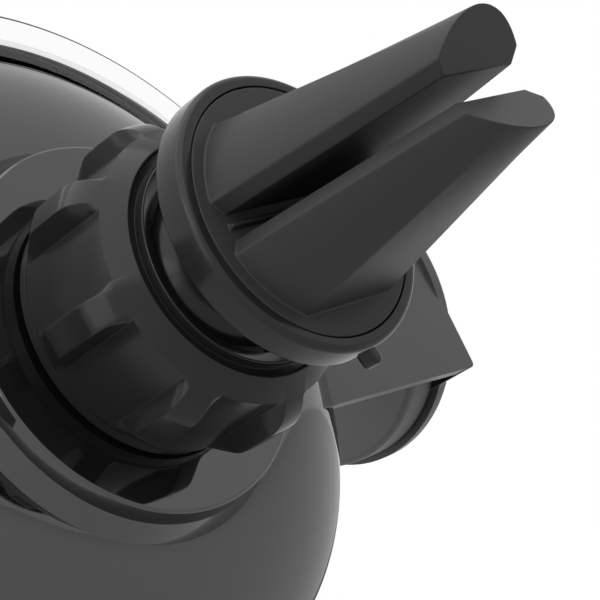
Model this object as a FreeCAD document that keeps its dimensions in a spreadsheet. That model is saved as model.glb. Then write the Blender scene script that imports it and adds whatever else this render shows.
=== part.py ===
import FreeCAD, Part
import math
import os
import Sketcher

# Air vent phone holder: a two-prong vent clip on a ball stud, a fluted clamp nut over a split ball socket,
# a round housing with two side arms, and a foot whose slots draw the arms in when a phone pushes it down.
# Frame: origin at the middle of the clip's front face, +Y out along the prongs into the vent, +Z up.
# The phone stands on the -Y side. A depth is measured from the clip's face along -Y.

doc = FreeCAD.newDocument("VentPhoneHolder")
Vector = FreeCAD.Vector

DIMENSIONS = {
    # clip insert and prongs
    "seam_radius": 9.5,
    "seam_gap": 0.08,
    "insert_thickness": 1.8,
    "prong_root_radius": 8.4,
    "prong_tip_radius": 4.35,
    "prong_root_flat": 7.15,
    "prong_tip_flat": 3.7,
    "prong_tip_crown": 4.45,
    "prong_length": 20.1,
    "slot_half_width": 0.9,
    "slot_edge_chamfer": 1.0,
    "tip_bevel_length": 2.4,
    "vane_bead_height": 0.45,
    "vane_bead_half_width": 0.25,
    # clip ring
    "ring_radius": 10.5,
    "ring_shoulder": 0.45,
    "ring_rim_depth": 2.5,
    "ring_floor": 1.25,
    "key_radius": 0.8,
    "key_reach": 12.0,
    "key_length": 1.5,
    "key_angle": -103.0,
    # ball stud and its screw
    "ball_radius": 8.0,
    "ball_depth": 13.0,
    "neck_radius": 3.3,
    "stud_flange_radius": 5.0,
    "stud_flange_thickness": 0.9,
    "screw_radius": 0.95,
    "screw_gap": 0.05,
    "screw_head_radius": 2.7,
    "screw_head_height": 1.1,
    "screw_length": 7.0,
    # ball seat and washer
    "fit_gap": 0.06,
    "seat_thickness": 0.55,
    "seat_inner_angle": 12.0,
    "seat_outer_angle": 66.0,
    "washer_inner_radius": 3.6,
    "washer_outer_radius": 6.2,
    "washer_thickness": 0.9,
    "washer_gap": 0.2,
    # ball socket
    "socket_radius": 9.55,
    "socket_mouth_radius": 8.0,
    "socket_mouth_depth": 8.3,
    "socket_cone_depth": 11.5,
    "socket_step_depth": 13.6,
    "socket_slot_width": 1.2,
    "socket_slot_depth": 15.0,
    "socket_flange_radius": 13.1,
    "socket_flange_thickness": 1.6,
    "socket_back": 1.4,
    "socket_screw_circle": 11.5,
    "socket_screw_radius": 0.7,
    "socket_screw_head_radius": 1.4,
    "socket_screw_head_height": 0.9,
    "socket_screw_bite": 1.0,
    # clamp nut
    "nut_radius": 12.35,
    "nut_thread_gap": 0.15,
    "nut_lip_radius": 8.4,
    "nut_lip_depth": 6.84,
    "nut_lip_inner_radius": 7.35,
    "nut_lip_inner_depth": 7.4,
    "nut_lip_back_depth": 8.1,
    "nut_groove_inner": 8.45,
    "nut_groove_outer": 9.05,
    "nut_groove_depth": 7.7,
    "nut_front_radius": 9.2,
    "nut_front_depth": 7.27,
    "nut_band_radius": 10.7,
    "nut_band_depth": 8.7,
    "nut_shoulder_depth": 11.6,
    "nut_shoulder_arc": 3.4,
    "nut_tail_depth": 15.0,
    "nut_heel_radius": 10.6,
    "nut_heel_depth": 17.8,
    "nut_back_radius": 10.5,
    "nut_floor_gap": 0.5,
    "flute_half_angle": 14.25,
    "flute_mouth_half_angle": 18.8,
    "flute_phase": 64.3,
    # rear shell
    "boss_floor_depth": 19.3,
    "boss_floor_thickness": 1.5,
    "boss_hole_gap": 0.2,
    "boss_lip_radius": 14.4,
    "boss_lip_width": 0.6,
    "boss_lip_height": 0.3,
    "boss_step_radius": 15.3,
    "boss_step_depth": 20.2,
    "boss_base_radius": 15.9,
    "boss_base_depth": 22.6,
    "dome_radius": 27.3,
    "dome_edge_depth": 27.6,
    "dome_edge_arc": 1.9,
    "dome_back_arc": 28.0,
    "shell_edge_depth": 28.0,
    "shell_wall": 1.7,
    "shell_floor": 2.0,
    # arms
    "arm_depth": 28.5,
    "arm_thickness": 1.5,
    "arm_end_half_width": 10.7,
    "arm_root_half_width": 9.6,
    "arm_root_margin": 2.4,
    "arm_reach": 46.85,
    "arm_tongue_gap": 0.6,
    "arm_tongue_inner": 0.5,
    "arm_tongue_outer": 8.0,
    "arm_travel": 12.0,
    "jaw_wall": 1.0,
    "jaw_wall_depth": 50.0,
    "jaw_radius": 14.25,
    "jaw_depth": 42.3,
    "jaw_thickness": 1.45,
    "jaw_lap": 0.5,
    "jaw_edge_round": 0.5,
    "pad_radius": 13.6,
    "pad_thickness": 3.2,
    "pad_round": 0.6,
    "pad_arm_gap": 0.4,
    "pin_radius": 1.5,
    "pin_press_gap": 0.02,
    "pin_margin": 2.4,
    "pin_height": 4.0,
    "pin_proud": 0.5,
    # foot
    "foot_gap": 0.4,
    "foot_thickness": 1.6,
    "foot_side_gap": 2.3,
    "foot_web": 1.0,
    "foot_shoulder": 3.6,
    "foot_corner_cut": 1.3,
    "foot_waist_half_width": 12.0,
    "foot_leg_half_width": 8.0,
    "foot_leg_height": -2.8,
    "foot_shelf_height": -33.0,
    "foot_shelf_thickness": 1.8,
    "foot_shelf_half_width": 11.0,
    "foot_shelf_end": 52.5,
    "foot_lip_height": 3.6,
    "foot_lip_thickness": 1.8,
    "foot_corner": 3.0,
    "foot_gusset": 5.0,
    "foot_gusset_across": 5.0,
    "foot_pad_thickness": 1.2,
    "foot_pad_inset": 0.8,
    "cam_gap": 0.08,
    # return springs
    "spring_offset": 11.0,
    "spring_foot_height": 3.0,
    "spring_top_margin": 3.4,
    "spring_coil_radius": 1.35,
    "spring_wire_radius": 0.3,
    "spring_turns": 9.0,
    "spring_peg_radius": 0.9,
    "spring_peg_length": 4.0,
    # chassis
    "chassis_edge_gap": 0.4,
    "chassis_thickness": 1.3,
    "chassis_arm_gap": 0.2,
    "chassis_window": 13.0,
    # front cover
    "cover_gap": 0.15,
    "cover_wall": 1.6,
    "cover_floor_gap": 0.2,
    "cover_floor": 2.2,
    "cover_edge_round": 1.2,
    "arm_slot_gap": 0.3,
    "brow_reach": 3.9,
    "brow_wall": 1.45,
    "brow_sweep": 132.0,
    "brow_back_depth": 28.9,
    "screw_boss_radius": 1.9,
    "pillar_root": 1.2,
    "cover_screw_radius": 0.95,
    "cover_screw_head_radius": 1.8,
    "cover_screw_head_height": 1.0,
    "cover_screw_tip_depth": 25.4,
    "boss_edge_margin": 3.0,
    "upper_boss_angle": 45.0,
    "lower_boss_angle": -35.2,
    # face pad and brow trim
    "face_recess": 0.5,
    "face_pad_margin": 4.8,
    "face_pad_thickness": 1.3,
    "face_pad_gap": 0.05,
    "trim_gap": 0.05,
    "trim_flange": 0.45,
    "trim_inner_radius": 27.75,
    "trim_lip_thickness": 0.75,
    "trim_outer_depth": 28.2,
    "trim_inner_depth": 27.5,
    "trim_skirt_depth": 30.0,
}

sheet = doc.addObject("Spreadsheet::Sheet", "Sizes")
for row, (alias, number) in enumerate(DIMENSIONS.items(), start=1):
    sheet.set(f"A{row}", alias)
    sheet.set(f"B{row}", str(number))
    sheet.setAlias(f"B{row}", alias)
doc.recompute()


class Size:
    """A length or angle with the sheet formula it comes from."""

    def __init__(self, value, text):
        self.value = value
        self.text = text

    def __add__(self, other):
        other = as_size(other)
        return Size(self.value + other.value, f"({self.text} + {other.text})")

    def __sub__(self, other):
        other = as_size(other)
        return Size(self.value - other.value, f"({self.text} - {other.text})")

    def __mul__(self, other):
        other = as_size(other)
        return Size(self.value * other.value, f"({self.text} * {other.text})")

    def __truediv__(self, other):
        other = as_size(other)
        return Size(self.value / other.value, f"({self.text} / {other.text})")

    def __neg__(self):
        return Size(-self.value, f"(0 - {self.text})")

    def __radd__(self, other):
        return as_size(other) + self

    def __rsub__(self, other):
        return as_size(other) - self

    def __rmul__(self, other):
        return as_size(other) * self


def as_size(number):
    if isinstance(number, Size):
        return number
    return Size(float(number), repr(float(number)))


def dim(alias):
    return Size(float(sheet.get(alias)), f"Sizes.{alias}")


def root(size):
    return Size(math.sqrt(size.value), f"sqrt({size.text})")


def leg(hypotenuse, side):
    """The other leg of a right triangle."""
    return root(hypotenuse * hypotenuse - side * side)


def cosine(angle):
    return Size(math.cos(math.radians(angle.value)), f"cos({angle.text} * 1 deg)")


def sine(angle):
    return Size(math.sin(math.radians(angle.value)), f"sin({angle.text} * 1 deg)")


def new_body(label):
    body = doc.addObject("PartDesign::Body", label)
    body.Label = label
    return body


def origin_feature(body, role):
    return next(part for part in body.Origin.OriginFeatures if part.Role == role)


def new_sketch(body, name, plane, offset=None):
    sketch = body.newObject("Sketcher::SketchObject", name)
    sketch.AttachmentSupport = (origin_feature(body, plane), [""])
    sketch.MapMode = "FlatFace"
    if offset is not None:
        offset = as_size(offset)
        sketch.AttachmentOffset = FreeCAD.Placement(Vector(0, 0, offset.value), FreeCAD.Rotation())
        sketch.setExpression("AttachmentOffset.Base.z", offset.text)
    return sketch


def bind(sketch, kind, references, size):
    """A dimension constraint driven by its formula."""
    index = sketch.addConstraint(Sketcher.Constraint(kind, *references, size.value))
    sketch.setExpression(f"Constraints[{index}]", size.text)


def place_point(sketch, geometry, end, point):
    across, up = as_size(point[0]), as_size(point[1])
    if across.value == 0:
        sketch.addConstraint(Sketcher.Constraint("PointOnObject", geometry, end, -2))
    else:
        bind(sketch, "DistanceX", (-1, 1, geometry, end), across)
    if up.value == 0:
        sketch.addConstraint(Sketcher.Constraint("PointOnObject", geometry, end, -1))
    else:
        bind(sketch, "DistanceY", (-1, 1, geometry, end), up)


def arc_middle(start, end, radius, side):
    """Middle point of the shorter arc; side is 1 where the centre lies left of the way from start to end."""
    chord = end - start
    left = Vector(-chord.y, chord.x, 0).normalize()
    to_centre = math.sqrt(max(radius ** 2 - (chord.Length / 2) ** 2, 0)) * side
    centre = (start + end) * 0.5 + left * to_centre
    return centre - left * (radius * side)


def outline(sketch, points, arcs=None):
    """Closed outline through bound points; arcs maps an edge's number to (radius, side)."""
    arcs = arcs or {}
    count = len(points)
    first = sketch.GeometryCount
    corners = [Vector(as_size(p[0]).value, as_size(p[1]).value, 0) for p in points]
    ends = []
    for edge in range(count):
        start, end = corners[edge], corners[(edge + 1) % count]
        if edge in arcs:
            radius, side = arcs[edge]
            middle = arc_middle(start, end, radius.value, side)
            if side > 0:
                sketch.addGeometry(Part.Arc(start, middle, end), False)
                ends.append((1, 2))
            else:
                sketch.addGeometry(Part.Arc(end, middle, start), False)
                ends.append((2, 1))
        else:
            sketch.addGeometry(Part.LineSegment(start, end), False)
            ends.append((1, 2))
    for edge in range(count):
        follower = (edge + 1) % count
        meeting = (first + edge, ends[edge][1], first + follower, ends[follower][0])
        sketch.addConstraint(Sketcher.Constraint("Coincident", *meeting))
    for edge, point in enumerate(points):
        place_point(sketch, first + edge, ends[edge][0], point)
    for edge, (radius, side) in arcs.items():
        bind(sketch, "Radius", (first + edge,), radius)


def circle(sketch, centre, radius):
    middle = Vector(as_size(centre[0]).value, as_size(centre[1]).value, 0)
    index = sketch.addGeometry(Part.Circle(middle, Vector(0, 0, 1), radius.value), False)
    place_point(sketch, index, 3, centre)
    bind(sketch, "Radius", (index,), radius)


def obround(sketch, start, end, radius):
    """A round-ended slot between two bound centres."""
    ends = [Vector(as_size(p[0]).value, as_size(p[1]).value, 0) for p in (start, end)]
    along = (ends[1] - ends[0]).normalize()
    aside = Vector(along.y, -along.x, 0) * radius.value
    tip = along * radius.value
    near = sketch.addGeometry(Part.Arc(ends[0] - aside, ends[0] - tip, ends[0] + aside), False)
    lower = sketch.addGeometry(Part.LineSegment(ends[0] + aside, ends[1] + aside), False)
    far = sketch.addGeometry(Part.Arc(ends[1] + aside, ends[1] + tip, ends[1] - aside), False)
    upper = sketch.addGeometry(Part.LineSegment(ends[1] - aside, ends[0] - aside), False)
    for first, second in ((near, lower), (lower, far), (far, upper), (upper, near)):
        sketch.addConstraint(Sketcher.Constraint("Tangent", first, 2, second, 1))
    place_point(sketch, near, 3, start)
    place_point(sketch, far, 3, end)
    bind(sketch, "Radius", (near,), radius)


def rectangle(sketch, left, right, bottom, top):
    outline(sketch, [(left, bottom), (right, bottom), (right, top), (left, top)])


def revolve(body, name, sketch):
    """A full turn about the sketch's upright axis."""
    feature = body.newObject("PartDesign::Revolution", name)
    feature.Profile = sketch
    feature.ReferenceAxis = (sketch, ["V_Axis"])
    feature.Angle = 360
    doc.recompute()
    return feature


def revolve_sector(body, name, sketch, sweep):
    """A part turn about the sketch's level axis, half of it to each side of the sketch."""
    feature = body.newObject("PartDesign::Revolution", name)
    feature.Profile = sketch
    feature.ReferenceAxis = (sketch, ["H_Axis"])
    feature.Midplane = True
    feature.Angle = sweep.value
    feature.setExpression("Angle", sweep.text)
    doc.recompute()
    return feature


def pad(body, name, sketch, length, reverse=False):
    feature = body.newObject("PartDesign::Pad", name)
    feature.Profile = sketch
    length = as_size(length)
    feature.Length = length.value
    feature.setExpression("Length", length.text)
    feature.Reversed = reverse
    doc.recompute()
    return feature


def pocket(body, name, sketch, length=None, reverse=False, midplane=False):
    """Cuts away from the sketch's normal, or all through where no length is given."""
    before = body.Shape.Volume
    feature = body.newObject("PartDesign::Pocket", name)
    feature.Profile = sketch
    if length is None:
        feature.Type = "ThroughAll"
    else:
        length = as_size(length)
        feature.Length = length.value
        feature.setExpression("Length", length.text)
    feature.Reversed = reverse
    feature.Midplane = midplane
    doc.recompute()
    check_cut(body, feature, before)
    return feature


def check_cut(body, feature, before):
    if not body.Shape.Volume < before - 1e-3:
        raise RuntimeError(f"{body.Label}: {feature.Label} cuts nothing")


def around_axis(body, name, feature, copies):
    """Repeats a feature evenly about the body's own Y axis."""
    pattern = body.newObject("PartDesign::PolarPattern", name)
    pattern.Originals = [feature]
    pattern.Axis = (origin_feature(body, "Y_Axis"), [""])
    pattern.Angle = 360
    pattern.Occurrences = copies
    body.Tip = pattern
    doc.recompute()
    return pattern


def edges_where(feature, test):
    """Names of the feature's edges whose shape passes the test."""
    return [f"Edge{n}" for n, edge in enumerate(feature.Shape.Edges, start=1) if test(edge)]


def round_edges(body, name, feature, edge_names, radius, kind="Fillet"):
    if not edge_names:
        raise RuntimeError(f"{body.Label}: {name} found no edges")
    rounding = body.newObject(f"PartDesign::{kind}", name)
    rounding.Base = (feature, edge_names)
    prop = "Radius" if kind == "Fillet" else "Size"
    setattr(rounding, prop, radius.value)
    rounding.setExpression(prop, radius.text)
    doc.recompute()
    return rounding


# Depths that several pieces share
ball_depth = dim("ball_depth")
ball_radius = dim("ball_radius")
ring_back = dim("insert_thickness") + dim("fit_gap") + dim("ring_floor")
seat_inner = ball_radius + dim("fit_gap")
seat_outer = seat_inner + dim("seat_thickness")
cavity_radius = seat_outer + dim("fit_gap")
washer_depth = ball_depth + leg(seat_outer, dim("washer_inner_radius")) + dim("washer_gap")
chamber_radius = dim("washer_outer_radius") + dim("washer_gap")
chamber_floor = washer_depth + dim("washer_thickness") + dim("fit_gap")
flange_depth = dim("boss_floor_depth") + dim("boss_floor_thickness")
arm_back = dim("arm_depth")
arm_front = arm_back + dim("arm_thickness")
foot_back = arm_front + dim("foot_gap")
foot_front = foot_back + dim("foot_thickness")
chassis_front = arm_back - dim("chassis_arm_gap")
chassis_back = chassis_front - dim("chassis_thickness")
cover_back = dim("shell_edge_depth") + dim("cover_gap")
cover_inner_radius = dim("dome_radius") - dim("cover_wall")
cover_floor_depth = foot_front + dim("spring_peg_length") + dim("cover_floor_gap")
cover_front_depth = cover_floor_depth + dim("cover_floor")
brow_radius = dim("dome_radius") + dim("brow_reach")
face_pad_radius = dim("dome_radius") - dim("face_pad_margin")
dome_inner_depth = dim("boss_base_depth") + dim("shell_floor")
foot_side = cover_inner_radius - dim("foot_side_gap")
pin_reach = foot_side - dim("pin_margin")
slot_radius = dim("pin_radius") + dim("cam_gap")
foot_top = dim("pin_height") + dim("arm_travel") + slot_radius + dim("foot_web")
foot_bottom = dim("pin_height") - slot_radius - dim("foot_web") * 1.2
arm_root_reach = pin_reach - dim("arm_root_margin")
arm_tongue_reach = arm_root_reach - dim("arm_travel") - dim("arm_tongue_gap")
spring_top_height = leg(cover_inner_radius - dim("spring_top_margin"), dim("spring_offset"))
boss_circle = cover_inner_radius - dim("boss_edge_margin")
jaw_outer = dim("arm_reach") + dim("jaw_thickness") - dim("jaw_lap")
wall_inner = dim("arm_reach") - dim("jaw_wall")
bosses = [
    (boss_circle * cosine(dim(angle)) * side, boss_circle * sine(dim(angle)))
    for angle in ("upper_boss_angle", "lower_boss_angle") for side in (-1, 1)
]


# Clip insert: a disc with two tapered prongs, split by the slot that takes a louvre vane
def prong_section(body, name, radius, flat, height, crown=None):
    """A circle cut by two flats, height above the face; crown swells the flats to that radius."""
    sketch = new_sketch(body, name, "XZ_Plane", -height)
    half = leg(radius, flat)
    points = [(half, flat), (-half, flat), (-half, -flat), (half, -flat)]
    arcs = {1: (radius, 1), 3: (radius, 1)}
    if crown is not None:
        arcs[0] = (crown, 1)
        arcs[2] = (crown, 1)
    outline(sketch, points, arcs)
    return sketch


def make_clip_insert():
    body = new_body("clip_insert")
    disc = new_sketch(body, "insert_disc", "XY_Plane")
    edge = dim("seam_radius") - dim("seam_gap")
    head = dim("screw_head_radius") + 0.3
    back = -dim("insert_thickness")
    recess = back + dim("screw_head_height") + 0.15
    outline(disc, [(0, 0), (edge, 0), (edge, back), (head, back), (head, recess), (0, recess)])
    revolve(body, "insert_base", disc)
    length = dim("prong_length")
    tip_radius, tip_flat, crown = dim("prong_tip_radius"), dim("prong_tip_flat"), dim("prong_tip_crown")
    low = prong_section(body, "prong_root", dim("prong_root_radius"), dim("prong_root_flat"), as_size(0))
    high = prong_section(body, "prong_tip", tip_radius, tip_flat, length, crown)
    loft = body.newObject("PartDesign::AdditiveLoft", "prongs")
    loft.Profile = low
    loft.Sections = [high]
    loft.Ruled = True
    doc.recompute()
    half = dim("slot_half_width")
    reach = dim("prong_root_radius") * 2
    slot = new_sketch(body, "vane_slot", "YZ_Plane")
    outline(slot, [(0, -half), (length * 2, -half), (length * 2, half), (0, half)])
    pocket(body, "slot_cut", slot, reach * 2, midplane=True)
    top = tip_flat + crown - leg(crown, leg(tip_radius, tip_flat))
    for side, name in ((1, "upper"), (-1, "lower")):
        bevel = new_sketch(body, f"{name}_tip", "YZ_Plane")
        start = length - dim("tip_bevel_length")
        outline(bevel, [
            (start, half * side), (length, top * side), (length + 1, top * side),
            (length + 1, half * side * 0.5), (start, half * side * 0.5)])
        tip = pocket(body, f"{name}_bevel", bevel, reach * 2, midplane=True)
    length_value = length.value

    def slot_edge(curve):
        """Long edges where a slot face meets a prong's round side."""
        box = curve.BoundBox
        level = abs(abs(box.ZMin) - half.value) < 1e-3 and box.ZMax - box.ZMin < 1e-3
        return level and box.YMax - box.YMin > length_value * 0.6

    slot_edges = edges_where(tip, slot_edge)
    round_edges(body, "slot_chamfer", tip, slot_edges, dim("slot_edge_chamfer"), "Chamfer")
    bead = new_sketch(body, "vane_bead", "YZ_Plane", -(dim("prong_root_radius") * 0.9))
    bead_half = dim("vane_bead_half_width")
    outline(bead, [
        (-dim("fit_gap"), -bead_half), (dim("vane_bead_height"), -bead_half * 0.5),
        (dim("vane_bead_height"), bead_half * 0.5), (-dim("fit_gap"), bead_half)])
    pad(body, "bead", bead, dim("prong_root_radius") * 1.8)
    return body


# Clip ring: the cup that carries the insert and the ball stud
def make_clip_ring():
    body = new_body("clip_ring")
    sketch = new_sketch(body, "ring_profile", "XY_Plane")
    bore = dim("screw_radius") + dim("screw_gap")
    shoulder = dim("ring_shoulder")
    floor = -(dim("insert_thickness") + dim("fit_gap"))
    neck = dim("ring_radius") - 1.6
    outline(sketch, [
        (dim("seam_radius"), 0), (dim("ring_radius") - shoulder, 0), (dim("ring_radius"), -shoulder),
        (dim("ring_radius"), -dim("ring_rim_depth")), (neck, -ring_back), (bore, -ring_back), (bore, floor),
        (dim("seam_radius"), floor)], {1: (shoulder, -1)})
    revolve(body, "ring", sketch)
    key = new_sketch(body, "key_profile", "XZ_Plane", dim("insert_thickness") + dim("fit_gap"))
    reach = dim("key_reach") - dim("key_radius")
    start = dim("ring_radius") - dim("key_radius") * 2
    angle = dim("key_angle")
    obround(
        key, (start * cosine(angle), start * sine(angle)), (reach * cosine(angle), reach * sine(angle)),
        dim("key_radius"))
    pad(body, "key", key, dim("key_length"))
    return body


def make_ball_stud():
    body = new_body("ball_stud")
    sketch = new_sketch(body, "stud_profile", "XY_Plane")
    neck = dim("neck_radius")
    bore = dim("screw_radius") + dim("screw_gap")
    flange_back = ring_back + dim("stud_flange_thickness")
    hole_end = dim("insert_thickness") + dim("screw_length") + 0.4
    outline(sketch, [
        (bore, -ring_back),
        (dim("stud_flange_radius"), -ring_back),
        (dim("stud_flange_radius"), -flange_back),
        (neck, -(flange_back + 0.5)), (neck, -(ball_depth - leg(ball_radius, neck))),
        (0, -(ball_depth + ball_radius)), (0, -hole_end), (bore, -hole_end)], {4: (ball_radius, -1)})
    revolve(body, "stud", sketch)
    return body


def make_stud_screw():
    body = new_body("stud_screw")
    sketch = new_sketch(body, "screw_profile", "XY_Plane")
    seat = dim("insert_thickness") + dim("fit_gap")
    head_top = seat - dim("screw_head_height")
    tip = dim("insert_thickness") + dim("screw_length")
    outline(sketch, [
        (0, -head_top), (dim("screw_head_radius"), -head_top), (dim("screw_head_radius"), -seat),
        (dim("screw_radius"), -seat), (dim("screw_radius"), -tip), (0, -tip)])
    revolve(body, "screw", sketch)
    return body


# Ball seat: a thin bowl behind the ball, which takes the nodding motion
def make_ball_seat():
    body = new_body("ball_seat")
    sketch = new_sketch(body, "seat_profile", "XY_Plane")
    near, far = dim("seat_inner_angle"), dim("seat_outer_angle")

    def on_sphere(radius, angle):
        return radius * sine(angle), -(ball_depth + radius * cosine(angle))

    outline(sketch, [
        on_sphere(seat_inner, far), on_sphere(seat_outer, far), on_sphere(seat_outer, near),
        on_sphere(seat_inner, near)], {1: (seat_outer, -1), 3: (seat_inner, 1)})
    revolve(body, "seat", sketch)
    return body


def make_seat_washer():
    body = new_body("seat_washer")
    sketch = new_sketch(body, "washer_profile", "XY_Plane")
    back = washer_depth + dim("washer_thickness")
    rectangle(sketch, dim("washer_inner_radius"), dim("washer_outer_radius"), -back, -washer_depth)
    revolve(body, "washer", sketch)
    return body


# Ball socket: a cup with sprung fingers, squeezed on the ball by the nut's cone
def make_ball_socket():
    body = new_body("ball_socket")
    sketch = new_sketch(body, "socket_profile", "XY_Plane")
    grip = ball_radius + dim("fit_gap")
    mouth = dim("socket_mouth_depth")
    step = dim("socket_step_depth")
    radius = dim("socket_radius")
    flange = dim("socket_flange_radius")
    flange_front = flange_depth + dim("socket_flange_thickness")
    points = [
        (leg(grip, ball_depth - mouth), -mouth),
        (dim("socket_mouth_radius"), -mouth),
        (radius, -dim("socket_cone_depth")),
        (radius, -flange_depth),
        (flange, -flange_depth),
        (flange, -flange_front),
        (chamber_radius + 1.2, -flange_front),
        (chamber_radius + 1.2, -(chamber_floor + dim("socket_back"))),
        (0, -(chamber_floor + dim("socket_back"))),
        (0, -chamber_floor),
        (chamber_radius, -chamber_floor),
        (chamber_radius, -(ball_depth + leg(cavity_radius, chamber_radius))),
        (leg(cavity_radius, step - ball_depth), -step),
        (leg(grip, step - ball_depth), -step),
    ]
    outline(sketch, points, {11: (cavity_radius, 1), 13: (grip, 1)})
    revolve(body, "socket", sketch)
    slot = new_sketch(body, "finger_slot", "XZ_Plane", mouth - 1)
    half = dim("socket_slot_width") / 2
    rectangle(slot, -half, half, 0, radius + 1)
    cut = pocket(body, "slot_cut", slot, dim("socket_slot_depth") - mouth + 1, reverse=True)
    around_axis(body, "slots", cut, 6)
    hole = new_sketch(body, "flange_hole", "XZ_Plane", flange_depth - 1)
    circle(hole, (0, dim("socket_screw_circle")), dim("socket_screw_radius") + dim("screw_gap"))
    drilled = pocket(body, "hole_cut", hole, dim("socket_flange_thickness") + 2, reverse=True)
    around_axis(body, "holes", drilled, 3)
    return body


def make_socket_screws():
    """Three like screws as one group of separate solids."""
    front = flange_depth + dim("socket_flange_thickness")
    tip = flange_depth - dim("socket_screw_bite")
    solids = []
    for turn in range(3):
        angle = math.radians(90 + 120 * turn)
        across = dim("socket_screw_circle").value * math.cos(angle)
        height = dim("socket_screw_circle").value * math.sin(angle)
        shank = Part.makeCylinder(
            dim("socket_screw_radius").value, front.value - tip.value,
            Vector(across, -tip.value, height), Vector(0, -1, 0))
        head = Part.makeCylinder(
            dim("socket_screw_head_radius").value, dim("socket_screw_head_height").value,
            Vector(across, -front.value, height), Vector(0, -1, 0))
        solids.append(shank.fuse(head).removeSplitter())
    group = doc.addObject("Part::Feature", "socket_screws")
    group.Label = "socket_screws"
    group.Shape = Part.makeCompound(solids)
    return group


# Clamp nut: a cone inside, eight ribs with flat-bottomed flutes between them outside
def make_clamp_nut():
    body = new_body("clamp_nut")
    sketch = new_sketch(body, "nut_profile", "XY_Plane")
    gap = dim("nut_thread_gap")
    bore = dim("socket_radius") + gap
    back = dim("boss_floor_depth") - dim("nut_floor_gap")
    mouth = dim("socket_mouth_radius") + gap
    outline(sketch, [
        (dim("nut_lip_inner_radius"), -dim("nut_lip_inner_depth")),
        (dim("nut_lip_radius"), -dim("nut_lip_depth")),
        (dim("nut_groove_inner"), -dim("nut_groove_depth")),
        (dim("nut_groove_outer"), -dim("nut_groove_depth")),
        (dim("nut_front_radius"), -dim("nut_front_depth")),
        (dim("nut_band_radius"), -dim("nut_band_depth")),
        (dim("nut_radius"), -dim("nut_shoulder_depth")),
        (dim("nut_radius"), -dim("nut_tail_depth")),
        (dim("nut_heel_radius"), -dim("nut_heel_depth")),
        (dim("nut_back_radius"), -back),
        (bore, -back),
        (bore, -dim("socket_cone_depth")),
        (mouth, -dim("socket_mouth_depth")),
        (mouth, -dim("nut_lip_back_depth")),
        (dim("nut_lip_inner_radius"), -dim("nut_lip_back_depth")),
    ], {5: (dim("nut_shoulder_arc"), -1)})
    revolve(body, "nut", sketch)
    flute = new_sketch(body, "flute_profile", "XZ_Plane", dim("nut_band_depth"))
    inner = dim("nut_band_radius")
    outer = dim("nut_radius") + 1
    half = dim("flute_half_angle")
    mouth_half = dim("flute_mouth_half_angle")
    phase = dim("flute_phase")
    polar = (
        (inner, phase + half),
        (outer, phase + mouth_half),
        (outer, phase - mouth_half),
        (inner, phase - half),
    )
    corners = [(radius * cosine(angle), radius * sine(angle)) for radius, angle in polar]
    outline(flute, corners, {3: (inner, 1)})
    cut = pocket(body, "flute", flute, back - dim("nut_band_depth") + 1, reverse=True)
    around_axis(body, "flutes", cut, 8)
    return body


# Rear shell: the boss with its raised lip, and the dome that rolls over to the housing's edge
def make_rear_shell():
    body = new_body("rear_shell")
    sketch = new_sketch(body, "shell_profile", "XY_Plane")
    floor = dim("boss_floor_depth")
    lip = dim("boss_lip_radius")
    wall = dim("shell_wall")
    dome = dim("dome_radius")
    edge_arc = dim("dome_edge_arc")
    back_arc = dim("dome_back_arc")
    base = (dim("boss_base_radius"), -dim("boss_base_depth"))
    hole = dim("socket_radius") + dim("boss_hole_gap")
    inner_boss = dim("socket_flange_radius") + dim("boss_hole_gap")
    join = dome_join(base, dome, edge_arc, back_arc)
    points = [
        (hole, -floor),
        (lip - dim("boss_lip_width"), -floor),
        (lip - dim("boss_lip_width"), -(floor - dim("boss_lip_height"))),
        (lip, -(floor - dim("boss_lip_height"))),
        (dim("boss_step_radius"), -dim("boss_step_depth")),
        base,
        join,
        (dome, -dim("dome_edge_depth")),
        (dome, -dim("shell_edge_depth")),
        (dome - wall, -dim("shell_edge_depth")),
        (dome - wall, -(dim("dome_edge_depth") - 0.6)),
        (dome - wall - 2, -(dome_inner_depth + 1.6)),
        (inner_boss + 1, -dome_inner_depth),
        (inner_boss, -dome_inner_depth),
        (inner_boss, -flange_depth),
        (hole, -flange_depth),
    ]
    step_arc = dim("boss_step_depth") - floor + dim("boss_lip_height")
    arcs = {3: (step_arc, -1), 5: (back_arc, -1), 6: (edge_arc, -1)}
    outline(sketch, points, arcs)
    revolve(body, "shell", sketch)
    pillar_start = dome_inner_depth + dim("pillar_root")
    pillars = new_sketch(body, "pillars", "XZ_Plane", pillar_start)
    for centre in bosses:
        circle(pillars, centre, dim("screw_boss_radius"))
    pad(body, "pillar", pillars, chassis_back - pillar_start)
    holes = new_sketch(body, "pilot_holes", "XZ_Plane", dim("cover_screw_tip_depth") - 0.1)
    for centre in bosses:
        circle(holes, centre, dim("cover_screw_radius") + dim("screw_gap"))
    pocket(body, "pilot", holes, chassis_back - dim("cover_screw_tip_depth") + 0.2, reverse=True)
    bites = new_sketch(body, "bite_holes", "XZ_Plane", flange_depth - dim("socket_screw_bite") - 0.1)
    for turn in range(3):
        angle = as_size(90 + 120 * turn)
        reach = dim("socket_screw_circle")
        centre = (reach * cosine(angle), reach * sine(angle))
        circle(bites, centre, dim("socket_screw_radius") + dim("screw_gap"))
    pocket(body, "bite", bites, dim("socket_screw_bite") + 0.2, reverse=True)
    return body


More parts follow.
